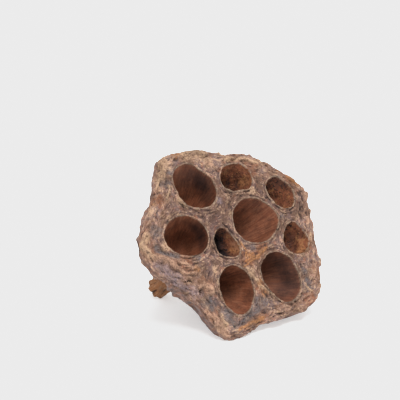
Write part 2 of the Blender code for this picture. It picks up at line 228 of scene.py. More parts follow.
# Cracks and slits: u and v of each place that they run through
CRACKS = (
    (-22.6, 19.9, -20.4, 20.1),
    (-22.3, -7.2, -20.4, -8.2, -19.6, -9.3, -17.5, -9.4),
    (-14.2, 15.4, -13.5, 14.0),
    (-1.3, 6.5, -0.3, 5.1, 1.6, 2.7),
    (2.0, 1.2, 2.9, -1.2),
    (-23.9, 17.3, -23.7, 16.9),
    (-14.7, -12.8, -15.9, -14.1),
    (20.9, 21.4, 21.4, 21.3),
    (28.8, 8.9, 29.2, 6.0),
)
CRACK_WIDTH, CRACK_DEPTH, CRACK_SWAY = 0.22, 0.8, 0.2
# Marks of painted shade inside cells, or of painted light where the strength is below 0: the
# cell's number, their angle round it and how far they reach round it, their share of its depth
# and how far they reach down, and how strong they are
PAINTED_CELL_SHADING = (
    (0, 25, 60, 0.25, 0.3, 0.7), (0, 75, 50, 0.2, 0.3, 0.3), (3, 15, 60, 0.25, 0.3, 0.8),
    (3, 180, 70, 0.8, 0.5, -0.5), (3, 260, 60, 0.8, 0.5, -0.5), (4, 60, 35, 0.3, 0.2, 0.3),
    (7, 90, 60, 0.4, 0.4, 0.35), (8, 70, 70, 0.3, 0.4, 0.45), (8, 0, 90, 0.2, 0.5, 0.3),
    (1, 250, 60, 0.3, 0.3, 0.7), (2, 250, 60, 0.6, 0.4, 0.7), (2, 60, 60, 0.0, 0.3, 0.6),
    (5, 0, 400, 0.95, 0.53, 3.2), (5, 230, 60, 0.3, 0.4, 1.5), (5, 100, 50, 0.1, 0.3, 0.4),
    (5, 350, 50, 0.08, 0.15, -0.8),
    (6, 110, 55, 0.2, 0.3, 0.7), (6, 250, 50, 0.5, 0.5, 0.5), (7, 330, 60, 0.3, 0.5, 0.25),
    (8, 320, 70, 0.3, 0.5, 0.4),
)

# Relief of the husk: the sizes of its bumps, streaks and fibres
FINE_SIZE, COARSE_SIZE, VEIN_SIZE, WARP_SIZE, LUMP_SIZE = 0.75, 1.8, 1.4, 3.0, 3.6
STREAK_SIZE, FINE_STREAK_SIZE = (1.3, 1.3, 1.0), (0.5, 0.5, 0.7)
FIBRE_SIZE, FINE_FIBRE_SIZE = (2.4, 0.55), (1.3, 0.32)

# Bits spread over the husk: how many to a square metre, and their half sizes in metres
STRINGS = {
    "Where": "loose", "Density": 0.7e6, "Seed": 3,
    "Smallest": (0.30e-3, 0.06e-3, 0.05e-3), "Largest": (0.85e-3, 0.15e-3, 0.14e-3),
}
CRUMBS = {
    "Where": "rough", "Density": 1.6e6, "Seed": 8,
    "Smallest": (0.10e-3, 0.10e-3, 0.08e-3), "Largest": (0.42e-3, 0.34e-3, 0.30e-3),
}

# Names of the values that each point of the husk carries to its finish
VALUES = ("lip", "lining", "crumbly", "wall", "stem", "pith", "margin", "stain")


def hermite(a, b, slope_a, slope_b, t):
    """Cubics from a to b over a step of one, with a slope at each end."""
    return (
        a * (2 * t**3 - 3 * t**2 + 1)
        + slope_a * (t**3 - 2 * t**2 + t)
        + b * (3 * t**2 - 2 * t**3)
        + slope_b * (t**3 - t**2)
    )


def along(table, x):
    """Smooth values at x from (place, value) pairs in rising order."""
    places, values = np.array(table, float).T
    x = np.clip(x, places[0], places[-1])
    i = np.clip(np.searchsorted(places, x, side="right") - 1, 0, len(places) - 2)
    j = i + 1
    before, after = np.maximum(i - 1, 0), np.minimum(i + 2, len(places) - 1)
    span = places[j] - places[i]
    slope_i = (values[j] - values[before]) / (places[j] - places[before]) * span
    slope_j = (values[after] - values[i]) / (places[after] - places[i]) * span
    return hermite(values[i], values[j], slope_i, slope_j, (x - places[i]) / span)


def around(table, angle):
    """Smooth values at angles from (degrees, value) pairs that close in a circle."""
    wrapped = [(place - 360, value) for place, value in table[-2:]]
    wrapped += list(table)
    wrapped += [(place + 360, value) for place, value in table[:3]]
    first = table[0][0]
    return along(wrapped, (angle - first) % 360 + first)


def evenly(values, angle):
    """Smooth values at angles from values at equal steps round a circle."""
    step = 360 / len(values)
    return around([(k * step, value) for k, value in enumerate(values)], angle)


def smooth(start, end, x):
    """Rise from 0 at start to 1 at end, level at both."""
    t = np.clip((x - start) / (end - start), 0.0, 1.0)
    return t * t * (3 - 2 * t)


def mix(first, second, share):
    """Values between two, at a share of the way."""
    return first + (second - first) * share


def length(vectors):
    """Lengths of vectors."""
    return np.sqrt((vectors**2).sum(-1))


def bumps(places, size, shift=0.0):
    """Irregular relief between about -1 and 1 at points, with bumps of a size."""
    scaled = (places / np.array(size)).reshape(-1, 3) + (shift, shift, 7.3)
    values = [noise.noise(place) for place in scaled.tolist()]
    return np.array(values).reshape(places.shape[:-1])


def ridges(places, size, shift=0.0):
    """Net of ridges at points: 1 along them, and down to about -1 between them."""
    return np.maximum(1 - 3.4 * np.abs(bumps(places, size, shift)), -1.0)


def direction(angle):
    """Unit vectors on the face at angles in degrees."""
    turned = np.radians(angle)
    return np.stack((np.cos(turned), np.sin(turned)), -1)


def bearing(spots):
    """Angles in degrees of spots of the face, seen from its middle."""
    return np.degrees(np.arctan2(spots[..., 1], spots[..., 0]))


def placed(spots, depth):
    """Points of the pod at spots of the face and depths under them."""
    depth = np.broadcast_to(depth, spots.shape[:-1])
    return np.concatenate((spots, -depth[..., None]), -1)


def centre_line(depth):
    """Middles of the pod's sections at depths. They bend towards the stem's cut end."""
    bend = (np.maximum(depth, 0.0) / STEM_TIP) ** 1.5
    return np.array(STEM_END) * np.asarray(bend)[..., None]


def face_height(spots):
    """Heights of the face between the cells."""
    reach = length(spots) / around(RIM, bearing(spots))
    height = FACE_DOME * (0.75 - reach * reach)
    height = height + CRUMPLE_HEIGHT * bumps(placed(spots, 0), CRUMPLE_SIZE)
    return height + SWELL_HEIGHT * bumps(placed(spots, -5), SWELL_SIZE)


def rim_gap(spots):
    """Distances of spots of the face from its rim."""
    return around(RIM, bearing(spots)) - length(spots)


def mean_radius(cell):
    """Mean radius of a cell's mouth."""
    return sum(cell.radii) / len(cell.radii)


def mouth_gap(cell, spots):
    """Distances of spots of the face from a cell's mouth, negative inside it."""
    away = spots - np.array(cell.middle)
    return length(away) - evenly(cell.radii, bearing(away))


def rim_points(angle, step):
    """Points on the rounding between face and wall, from step 0 to step 3."""
    spots = direction(angle) * (around(RIM, angle) - along(RIM_INSET, step))[..., None]
    return placed(spots, along(RIM_DEPTH, step) - along(RIM_SHARE, step) * face_height(spots))


def wall_radius(angle, depth):
    """Distances of the wall from the centre line, ribs left out."""
    rim = around(RIM, angle)
    mean = sum(value for _, value in RIM) / len(RIM)
    outline = rim + (mean - rim) * smooth(ROUND_FROM, NECK, depth)
    shrunk, full = along(SHRUNK_WALL, depth), along(FULL_WALL, depth)
    return outline * (shrunk + (full - shrunk) * around(FULLNESS, angle))


def rib(angle, depth):
    """Heights of the ribs that run down the wall into the stem."""
    sway = 10 * bumps(placed(2 * direction(angle), -0.08 * depth), 1)
    wave = np.cos(np.radians((angle + sway) * RIBS))
    fade = smooth(1.5, 8.0, depth) * (1 - 0.5 * smooth(18.0, 28.0, depth))
    return RIB_HEIGHT * fade * (1 - 2 * np.abs(wave) ** 1.5)


def wall_points(angle, depth):
    """Points of the wall."""
    radius = wall_radius(angle, depth) + rib(angle, depth)
    return placed(centre_line(depth) + direction(angle) * radius[..., None], depth)


def stem_points(angle, depth, share=1.0):
    """Points of the stem, on sections that turn square to the stem's own direction."""
    ribs = STEM_RIB_HEIGHT * np.cos(np.radians(angle * STEM_RIBS)) * smooth(28.0, 31.0, depth)
    across = direction(angle) * ((along(STEM, depth) + ribs) * share)[..., None]
    slope = centre_line(depth + 0.5) - centre_line(depth - 0.5)
    turned = (across * slope).sum(-1) * smooth(27.0, 32.0, depth)
    return placed(centre_line(depth) + across, depth - turned)


def mouth_points(cell, angle, offset, rise):
    """Points round a cell's mouth, offset outwards and raised from the face."""
    reach = evenly(cell.radii, angle) + offset
    spots = np.array(cell.middle) + direction(angle) * reach[..., None]
    return placed(spots, -face_height(spots) - rise)


def cell_points(cell, angle, share):
    """Points inside a cell at shares of its depth. It leans in as the wall does."""
    depth = cell.depth * share
    radius = evenly(cell.radii, angle)
    radius = radius + (0.97 * mean_radius(cell) - radius) * smooth(0.1, 0.7, share)
    lumps = placed(np.array(cell.middle) + direction(angle) * 3, -depth)
    lump = 0.5 + bumps(lumps, 1.6)
    radius = radius * along(BELLY, share) - cell.crumbs * lump * smooth(0.05, 0.2, share)
    rightward = np.maximum(np.cos(np.radians(angle)), 0)
    radius = radius * (1 - cell.ramp * rightward * smooth(0.0, 0.45, share))
    lean = (depth / CELLS_MEET)[..., None]
    spots = np.array(cell.middle) + direction(angle) * np.maximum(radius, 0.2)[..., None]
    spots = centre_line(np.array(CELLS_MEET * 0.8)) * lean + spots * (1 - lean)
    mouth = mouth_points(cell, angle, 0, LIP_HEIGHT / 2)
    return placed(spots, depth - mouth[..., 2] * smooth(0.4, 0.0, share))


def turn(count):
    """Angles in degrees at equal steps round a circle."""
    return np.arange(count) * 360 / count


class Skin:
    """Points, triangles and point values of a mesh that is put together from bands."""

    def __init__(self):
        self.places, self.triangles, self.grain = [], [], []
        self.values = {name: [] for name in VALUES}
        self.count = 0

    def add(self, places, grain, **values):
        """Adds points with their grain and values. Returns their numbers."""
        shape = places.shape[:-1]
        self.places.append(places.reshape(-1, 3))
        self.grain.append(np.broadcast_to(grain, places.shape).reshape(-1, 3))
        for name, kept in self.values.items():
            kept.append(np.broadcast_to(values.get(name, 0.0), shape).ravel())
        numbers = np.arange(self.count, self.count + self.places[-1].shape[0])
        self.count += len(numbers)
        return numbers.reshape(shape)

    def band(self, first, second):
        """Triangles between two rings. The first has as many points as the second, or twice."""
        ahead = np.roll(second, -1)
        if len(first) == len(second):
            corners = ((first, second, ahead), (first, ahead, np.roll(first, -1)))
        else:
            a, b = first[::2], first[1::2]
            corners = ((a, second, b), (b, second, ahead), (b, ahead, np.roll(a, -1)))
        self.triangles += [np.stack(three, -1) for three in corners]

    def loft(self, rings):
        """Triangles between rings that follow one another."""
        for first, second in zip(rings[:-1], rings[1:]):
            self.band(first, second)

    def close(self, last, tip, grain, **values):
        """Fan of triangles from a ring to one point."""
        end = self.add(tip[None], grain, **values)
        tips = np.broadcast_to(end, last.shape)
        self.triangles.append(np.stack((last, tips, np.roll(last, -1)), -1))


def add_wall(skin):
    """Wall and stem, from the face's edge to the cut end. Returns the face's edge."""
    angles = turn(WALL_POINTS)
    rings = []
    for step in np.linspace(0, 3, RIM_STEPS + 1)[:-1]:
        places = rim_points(angles, step)
        grain = rim_grain(angles, -places[:, 2])
        share = smooth(0, 3, step)
        rings.append(skin.add(places, grain, wall=0.6 * share, margin=1.0))
    depths = np.arange(WALL_TOP, NECK, WALL_STEP)
    for depth in depths:
        chosen = angles if depth < HALF_FROM else angles[::2]
        wall = 0.6 + 0.4 * smooth(WALL_TOP, 7.0, depth)
        margin = smooth(9.0, WALL_TOP, depth)
        grain = rim_grain(chosen, depth)
        rings.append(skin.add(wall_points(chosen, depth), grain, wall=wall, margin=margin))
    few = angles[::4]
    top, bottom = wall_points(few, NECK), stem_points(few, STEM_TOP)
    for share in (0.0, 0.34, 0.67):
        grain = stem_grain(few, mix(NECK, STEM_TOP, share))
        rings.append(skin.add(mix(top, bottom, share), grain, wall=1.0, stem=0.35 * share))
    for depth in np.arange(STEM_TOP, STEM_TIP + 0.01, STEM_STEP):
        stem = 0.35 + 0.65 * smooth(STEM_TOP, 30.5, depth)
        grain = stem_grain(few, depth)
        rings.append(skin.add(stem_points(few, depth), grain, wall=1.0, stem=stem))
    for share in PITH_SHARES:
        sunk = STEM_PITH * smooth(1.0, 0.6, share)
        places = stem_points(few, STEM_TIP, share) + (0, 0, sunk)
        grain = stem_grain(few, STEM_TIP + 3 * (1 - share))
        rings.append(skin.add(places, grain, wall=1.0, stem=1.0, pith=1.0))
    skin.loft(rings)
    skin.close(rings[-1], places.mean(0), grain[0], wall=1.0, stem=1.0, pith=1.0)
    return rings[0]


def rim_grain(angle, depth):
    """Coordinates in which the wall's streaks are drawn: slow down the wall."""
    return placed(direction(angle) * SHELF_SIZE, -depth / 9)


def stem_grain(angle, depth):
    """Coordinates in which the stem's fibres are drawn: slow along the stem."""
    return placed(direction(angle) * 4, -depth / 5) + (90, 0, 0)


def add_cell(skin, cell, number):
    """One cell with its raised lip. Returns the lip's outer ring."""
    angles = turn(MOUTH_POINTS)[::-1]
    crumbly = min(cell.crumbs * 4, 1.0)
    rings = []

    def grain(depth):
        away = direction(angles) * mean_radius(cell)
        return placed(away, -depth / 6) + (0, 120 + 30 * number, 0)

    ragged = bumps(grain(0), (0.9, 0.9, 1.0))
    for offset, rise in LIP:
        loose = smooth(0.6, 0.35, offset)
        places = mouth_points(cell, angles, offset + 0.08 * ragged * loose, rise)
        places[:, 2] += 0.2 * ragged * loose
        lip = smooth(0.5, 0.2, offset) * (0.75 + ragged)
        rings.append(skin.add(places, grain(0), lip=np.clip(lip, 0, 1)))
    for share in 1 - np.cos(np.linspace(0, pi / 2, CELL_RINGS)):
        share = mix(share, np.sin(share * pi / 2), 0.8)
        places = cell_points(cell, angles, share)
        lip = smooth(0.04, 0.0, share) * np.clip(0.75 + ragged, 0, 1)
        lining = smooth(0.0, 0.05, share) * (0.3 + 0.7 * share)
        deep = grain(cell.depth * share)
        # Painted shade and painted light on this cell's lining, from its marks
        stain = np.zeros(len(angles))
        for shaded_cell, at, wide, low, high, strength in PAINTED_CELL_SHADING:
            aside = ((angles - at + 180) % 360 - 180) / wide
            if shaded_cell == number:
                stain += strength * np.exp(-aside**2 - ((share - low) / high) ** 2)
        rings.append(skin.add(
            places, deep, lip=lip, lining=lining, crumbly=crumbly, stain=stain,
        ))
    skin.loft(rings)
    skin.close(rings[-1], places.mean(0), deep[0], lining=1.0, crumbly=crumbly)
    return rings[0]


def between(spots, gap):
    """Which spots lie between the face's edge and the lips, with a gap from both."""
    inside = rim_gap(spots) > EDGE_INSET + gap
    for cell in CELLS:
        inside &= mouth_gap(cell, spots) > LIP_WIDTH + gap
    return inside


def net_spots():
    """Spots of the face between its edge and the lips: a jittered lattice."""
    row_step = NET_STEP * sqrt(3) / 2
    farthest = max(value for _, value in RIM)
    rows = ceil(farthest / row_step)
    row, column = np.meshgrid(np.arange(-rows, rows + 1), np.arange(-rows, rows + 1))
    spots = np.stack(((column + row % 2 / 2) * NET_STEP, row * row_step), -1).reshape(-1, 2)
    spots = spots[length(spots) < farthest]
    spots += np.random.default_rng(5).uniform(-0.25, 0.25, spots.shape) * NET_STEP
    return spots[between(spots, 0.55 * NET_STEP)]


def fill_face(skin, edge, lips):
    """Triangles of the face between its edge and the lips' outer rings."""
    loops = [edge] + lips
    spots = net_spots()
    places = placed(spots, -face_height(spots))
    margin = smooth(9.0, 3.5, rim_gap(spots))
    numbers = skin.add(places, placed(spots, 0), margin=margin)
    corners = np.concatenate(loops + [numbers])
    everywhere = np.concatenate(skin.places)[corners][:, :2]
    borders, first = [], 0
    for loop in loops:
        borders += [(first + k, first + (k + 1) % len(loop)) for k in range(len(loop))]
        first += len(loop)
    drawn = delaunay_2d_cdt([Vector(spot) for spot in everywhere], borders, [], 0, 1e-5)
    sources = np.array([source[0] for source in drawn[3]])
    triangles = corners[sources[np.array(drawn[2])]]
    flat = np.concatenate(skin.places)[:, :2]
    triangles = triangles[between(flat[triangles].mean(1), 0.0)]
    a, b, c = (flat[triangles[:, k]] for k in range(3))
    turned = (b - a)[:, 0] * (c - a)[:, 1] < (b - a)[:, 1] * (c - a)[:, 0]
    triangles[turned] = triangles[turned][:, ::-1]
    skin.triangles.append(triangles)


def outward(places, triangles):
    """Unit normals of the points of a closed mesh."""
    a, b, c = (places[triangles[:, k]] for k in range(3))
    across = np.cross(b - a, c - a)
    normals = np.zeros_like(places)
    for k in range(3):
        np.add.at(normals, triangles[:, k], across)
    return normals / np.maximum(length(normals), 1e-9)[:, None]


def face_fibres(spots, around_size, across_size, shift):
    """Relief of the fibres that run round the mouths, and along the rim."""
    total, weights = 0.0, 0.0
    for number, cell in enumerate(CELLS):
        away = spots - np.array(cell.middle)
        gap = mouth_gap(cell, spots)
        weight = 1 / (np.maximum(gap, 0) + 0.8) ** 4
        across = -gap / across_size - 31 * number
        place = placed(direction(bearing(away)) * mean_radius(cell) / around_size, across)
        total = total + weight * bumps(place, 1.0, shift)
        weights = weights + weight
    return total / weights


def patch(spots, marks, ragged):
    """Ragged patches at spots, from 0 to 1."""
    cover = np.zeros(len(spots))
    for u, v, reach in marks:
        cover = np.maximum(cover, np.exp(-(length(spots - (u, v)) / reach) ** 2))
    return smooth(0.15, 0.85, cover + ragged * np.minimum(cover * 4, 1))


def crack(spots, line, width):
    """How near spots are to a line of a width, from 0 to 1 in it."""
    gaps, line = [], np.reshape(line, (-1, 2))
    for start, run in zip(line[:-1], np.diff(line, axis=0)):
        share = np.clip((spots - start) @ run / (run @ run), 0, 1)
        gaps.append(length(spots - start - share[:, None] * run))
    return np.exp(-(np.min(gaps, 0) / width) ** 2)


def shaped(skin):
    """Places of the husk's points with its relief, triangles, and values for the finish."""
    places = np.concatenate(skin.places)
    triangles = np.concatenate(skin.triangles)
    grain = np.concatenate(skin.grain)
    value = {name: np.concatenate(kept) for name, kept in skin.values.items()}
    normals = outward(places, triangles)
    spots = places[:, :2]

    fine = bumps(places, FINE_SIZE)
    coarse = bumps(places, COARSE_SIZE, 40)
    lumps = bumps(places, LUMP_SIZE, 52)
    warp = np.stack([bumps(places, WARP_SIZE, shift) for shift in (11, 23, 37)], -1)
    veins = ridges(places + 0.6 * warp, VEIN_SIZE, 3)
    outline = direction(bearing(spots)) * SHELF_SIZE
    outward_way = -rim_gap(spots) - places[:, 2]
    folds = bumps(placed(outline / 3.2, outward_way / 1.25) + 0.9 * warp, 1.0)
    strings = bumps(placed(outline / 1.5, outward_way / 0.5) + 0.8 * warp, 1.0, 9)
    streaks = bumps(grain + 0.5 * warp, STREAK_SIZE)
    fine_streaks = bumps(grain + 0.25 * warp, FINE_STREAK_SIZE, 60)

    open_face = value["lining"] == 0
    near = open_face & (value["wall"] < 0.5)
    fibres, fine_fibres = np.zeros(len(places)), np.zeros(len(places))
    fibres[near] = face_fibres(spots[near], *FIBRE_SIZE, 0)
    fine_fibres[near] = face_fibres(spots[near], *FINE_FIBRE_SIZE, 70)
    pits = smooth(0.5, 0.68, bumps(places, 0.8, 71)) + 0.6 * smooth(0.55, 0.7, coarse)
    swayed = spots + CRACK_SWAY * warp[:, :2]
    cracks = sum(crack(swayed, line, CRACK_WIDTH) for line in CRACKS) * near
    swayed = spots + FOLD_SWAY * warp[:, :2]
    lines = [crack(swayed, line, width) * near for _, _, width, line in FOLDS]
    rises = [rise for _, rise, _, _ in FOLDS]
    creases = sum(
        max(rise, 0) * near
        * crack(swayed + (0, CREASE_GAP * width), line, CREASE_WIDTH * width)
        for _, rise, width, line in FOLDS
    )
    raised = sum(line for rise, line in zip(rises, lines) if rise > RIDGE_FROM)

    lip = value["lip"]
    margin = value["margin"] * (1 - smooth(0.3, 1.0, value["wall"])) * open_face
    wall = smooth(0.3, 1.0, value["wall"]) * (1 - value["stem"])
    face = open_face * (1 - value["margin"]) * (1 - smooth(0.0, 0.3, value["wall"]))
    stem = value["stem"]
    rough_cell = value["lining"] * value["crumbly"]
    smooth_cell = (value["lining"] > 0) * (1 - value["crumbly"])

    middle_relief = 0.4 * fibres + 0.2 * fine_fibres + 0.15 * veins + 0.3 * coarse
    margin_relief = 0.9 * folds + 0.26 * strings + 0.12 * veins
    margin_relief += 0.9 * lumps + 0.2 * coarse - 0.15
    wall_relief = 0.28 * streaks + 0.16 * fine_streaks + 0.07 * fine + 0.1 * coarse
    height = face * (1 - 0.5 * lip) * (middle_relief + 0.08 * fine - 0.3 * pits)
    height += margin * (margin_relief + 0.1 * fine - 0.3 * pits)
    height += wall * wall_relief - CRACK_DEPTH * cracks
    height += RIDGE_STRENGTH * sum(rise * line for rise, line in zip(rises, lines))
    height -= CREASE_DEPTH * creases
    height += stem * (0.18 * streaks + 0.16 * fine_streaks + 0.15 * coarse + 0.12 * fine)
    height += smooth_cell * (0.07 * streaks + 0.05 * fine_streaks)
    height += rough_cell * (0.42 * coarse + 0.3 * fine)

    ragged = 0.5 * coarse + 0.35 * fine
    pale = face * smooth(0.1, 0.55, 0.9 * fibres + 0.7 * fine_fibres + 0.22 * veins)
    pale += margin * smooth(0.08, 0.46, 0.7 * strings + 0.45 * folds + 0.2 * veins)
    pale += wall * smooth(0.15, 0.5, fine_streaks) + stem * smooth(0.1, 0.4, fine_streaks)
    pale += rough_cell * smooth(0.1, 0.5, coarse + 0.6 * fine)
    pale += smooth_cell * smooth(0.05, 0.4, 0.6 * streaks + 0.6 * fine_streaks)
    # Darker in the low places of the relief, its grooves, pits, creases and cracks: painted shade
    deep = face * smooth(0.12, 0.5, -0.9 * fibres - 0.8 * fine_fibres - 0.2 * veins)
    deep += margin * smooth(0.12, 0.46, -0.6 * strings - 0.6 * folds)
    deep += (face + margin) * 0.8 * pits + wall * smooth(0.1, 0.45, -streaks)
    deep += stem * smooth(0.15, 0.5, -0.5 * streaks - 0.4 * fine_streaks - 0.4 * coarse)
    deep += rough_cell * smooth(0.0, 0.4, -coarse - 0.6 * fine)
    deep += smooth_cell * smooth(0.05, 0.4, -0.6 * streaks - 0.6 * fine_streaks)
    bright = np.maximum(raised, patch(spots, PATCHES["cream"], ragged))
    deep = deep * (1 - 0.7 * np.minimum(bright, 1)) + 1.2 * cracks + 0.5 * creases
    value["pale"] = np.clip(pale, 0, 1)
    value["deep"] = np.clip(deep, 0, 1)
    for name, marks in PATCHES.items():
        value[name] = patch(spots, marks, ragged) * (near | (rough_cell > 0))
    for (name, _, _, _), line in zip(FOLDS, lines):
        value[name] = np.maximum(value.get(name, 0), RIDGE_TINT * line)
    value["loose"] = margin + 0.4 * face * (1 - lip)
    value["rough"] = rough_cell > 0
    vectors = {"grain": grain, "run": leaned(surface_run(spots, value))}
    return places + normals * height[:, None], triangles, vectors, value


def surface_run(spots, value):
    """Directions in which the surface's fibres run: round the mouths, the rim and down."""
    away = direction(bearing(spots)) * (5 * value["margin"][:, None] + 0.01)
    for cell in CELLS:
        weight = 1 / (np.maximum(mouth_gap(cell, spots), 0) + 0.8) ** 2
        weight = weight * (1 - value["margin"])
        away = away + direction(bearing(spots - np.array(cell.middle))) * weight[:, None]
    run = np.stack((-away[:, 1], away[:, 0], np.zeros(len(away))), -1)
    down = np.array((0.0, 0.0, -1.0))
    return mix(run, down, smooth(0.3, 0.9, value["wall"])[:, None])


def leaned(vectors):
    """Vectors of the pod's own frame, turned to how it lies on the ground."""
    lean = radians(FACE_LEAN)
    u = np.array((1.0, 0.0, 0.0))
    v = np.array((0.0, sin(lean), cos(lean)))
    w = np.array((0.0, -cos(lean), sin(lean)))
    return vectors @ np.stack((u, v, w))


def boxed(places):
    """Places in metres, kept inside the CAD's box."""
    return np.clip(places, np.array(cad_low) + 1e-6, np.array(cad_high) - 1e-6)


def new_mesh(name, places, triangles):
    """Mesh from arrays of points and triangles."""
    mesh = bpy.data.meshes.new(name)
    mesh.from_pydata(places.tolist(), [], triangles.tolist())
    mesh.shade_smooth()
    return mesh


def show(name, mesh, *materials):
    """Object of a mesh in the scene."""
    piece = bpy.data.objects.new(name, mesh)
    for material in materials:
        mesh.materials.append(material)
    bpy.context.scene.collection.objects.link(piece)
    return piece


def make_husk(finish):
    """The whole pod as one closed mesh that carries the values of its finish."""
    skin = Skin()
    edge = add_wall(skin)
    lips = [add_cell(skin, cell, number) for number, cell in enumerate(CELLS)]
    fill_face(skin, edge, lips)
    places, triangles, vectors, values = shaped(skin)
    mesh = new_mesh("husk", boxed((leaned(places) + FACE_MIDDLE) * METRE), triangles)
    for name, value in values.items():
        layer = mesh.attributes.new(name, "FLOAT", "POINT")
        layer.data.foreach_set("value", value.astype(np.float32))
    for name, vector in vectors.items():
        layer = mesh.attributes.new(name, "FLOAT_VECTOR", "POINT")
        layer.data.foreach_set("vector", vector.astype(np.float32).ravel())
    return show("husk", mesh, finish)


class Socket:
    """A node's output, with the operators that the finishes use."""

    def __init__(self, nodes, socket):
        self.nodes, self.socket = nodes, socket

    def maths(self, operation, *values):
        return self.nodes.add("ShaderNodeMath", {"operation": operation}, *values)

    def __add__(self, other):
        return self.maths("ADD", self, other)

    def __mul__(self, other):
        return self.maths("MULTIPLY", self, other)

    def __sub__(self, other):
        return self.maths("SUBTRACT", self, other)

    def __rsub__(self, other):
        return self.maths("SUBTRACT", other, self)

    __radd__ = __add__
    __rmul__ = __mul__

    def beside(self, name):
        """Another output of the same node."""
        return Socket(self.nodes, self.socket.node.outputs[name])

    def clear(self, start, end):
        """0 at start, 1 at end, smoothly between."""
        settings = {"interpolation_type": "SMOOTHSTEP"}
        return self.nodes.add("ShaderNodeMapRange", settings, self, start, end, 0.0, 1.0)


class Nodes:
    """A node tree that is put together by calls."""

    def __init__(self, tree):
        self.tree = tree

    def add(self, kind, settings, *values, output=0, **named):
        """Adds a node with its settings and its sockets' values or links."""
        node = self.tree.nodes.new(kind)
        for name, setting in settings.items():
            setattr(node, name, setting)
        shown = [socket for socket in node.inputs if socket.enabled]
        sockets = list(zip(shown, values))
        sockets += [(node.inputs[name.replace("_", " ")], value) for name, value in named.items()]
        for socket, value in sockets:
            if isinstance(value, Socket):
                self.tree.links.new(value.socket, socket)
            elif value is not None:
                socket.default_value = value
        outputs = [socket for socket in node.outputs if socket.enabled]
        if not outputs:
            return None
        chosen = node.outputs[output] if isinstance(output, str) else outputs[output]
        return Socket(self, chosen)

    def mixed(self, share, first, second):
        """Colour between two, at a share of the way."""
        settings = {"data_type": "RGBA"}
        return self.add("ShaderNodeMix", settings, share, first, second)

    def shaded(self, colour, factor):
        """Colour made lighter or darker by a factor."""
        return self.add("ShaderNodeVectorMath", {"operation": "SCALE"}, colour, Scale=factor)

    def value(self, name, output="Fac"):
        """Value that the points carry under a name."""
        settings = {"attribute_name": name}
        return self.add("ShaderNodeAttribute", settings, output=output)

    def surface(self, **named):
        """Surface with its sockets' values or links, as the tree's output."""
        shader = self.add("ShaderNodeBsdfPrincipled", {}, **named)
        self.add("ShaderNodeOutputMaterial", {}, shader)

    def noise(self, place, scale, detail=2.0, roughness=0.5, distortion=0.0):
        """Noise between 0 and 1."""
        return self.add(
            "ShaderNodeTexNoise", {}, Vector=place, Scale=scale, Detail=detail,
            Roughness=roughness, Distortion=distortion,
        )


def new_finish(name):
    """Material with an empty tree, and its nodes."""
    material = bpy.data.materials.new(name)
    material.use_nodes = True
    material.node_tree.nodes.clear()
    return material, Nodes(material.node_tree)


# Colours of the husk
TAN = (0.124, 0.065, 0.042, 1)
MAUVE = (0.094, 0.056, 0.048, 1)
MARGIN_TAN = (0.191, 0.103, 0.067, 1)
MARGIN_GREY = (0.137, 0.088, 0.076, 1)
CREAM = (0.370, 0.235, 0.145, 1)
PINK = (0.310, 0.183, 0.136, 1)
RUST = (0.187, 0.068, 0.030, 1)
ORANGE = (0.290, 0.125, 0.045, 1)
APRICOT = (0.330, 0.190, 0.125, 1)
DUSK = (0.062, 0.031, 0.025, 1)
FLECK = (0.080, 0.028, 0.022, 1)
SHADE = (0.012, 0.005, 0.005, 1)
SLATE = (0.094, 0.079, 0.079, 1)
LILAC = (0.190, 0.135, 0.138, 1)
CREVICE_SHADE = (0.028, 0.015, 0.012, 1)
LIP_COLOUR = (0.210, 0.155, 0.112, 1)
LIP_TAN = (0.240, 0.145, 0.090, 1)
LINING_SHALLOW = (0.147, 0.046, 0.021, 1)
LINING_DEEP = (0.150, 0.049, 0.021, 1)
LINING_DARK = (0.060, 0.018, 0.010, 1)
LINING_PALE = (0.235, 0.105, 0.060, 1)
CRUMB_RUST = (0.128, 0.038, 0.015, 1)
CRUMB_SHADE = (0.022, 0.009, 0.007, 1)
CRUMB_BROWN = (0.070, 0.024, 0.012, 1)
CRUMB_OCHRE = (0.168, 0.068, 0.025, 1)
SKIN_MAUVE = (0.130, 0.085, 0.078, 1)
SKIN_RUST = (0.190, 0.085, 0.052, 1)
SKIN_PALE = (0.260, 0.190, 0.175, 1)
STEM_OCHRE = (0.215, 0.090, 0.036, 1)
STEM_PALE = (0.300, 0.170, 0.095, 1)
STEM_DARK = (0.050, 0.022, 0.011, 1)
PITH_COLOUR = (0.250, 0.140, 0.060, 1)


def patched(nodes, colour, strength):
    """Colour with the face's patches over it."""
    for name, shade in (
        ("rust", RUST), ("dusk", DUSK), ("slate", SLATE), ("lilac", LILAC), ("cream", CREAM),
        ("apricot", APRICOT), ("orange", ORANGE),
    ):
        colour = nodes.mixed(nodes.value(name) * strength, colour, shade)
    return colour


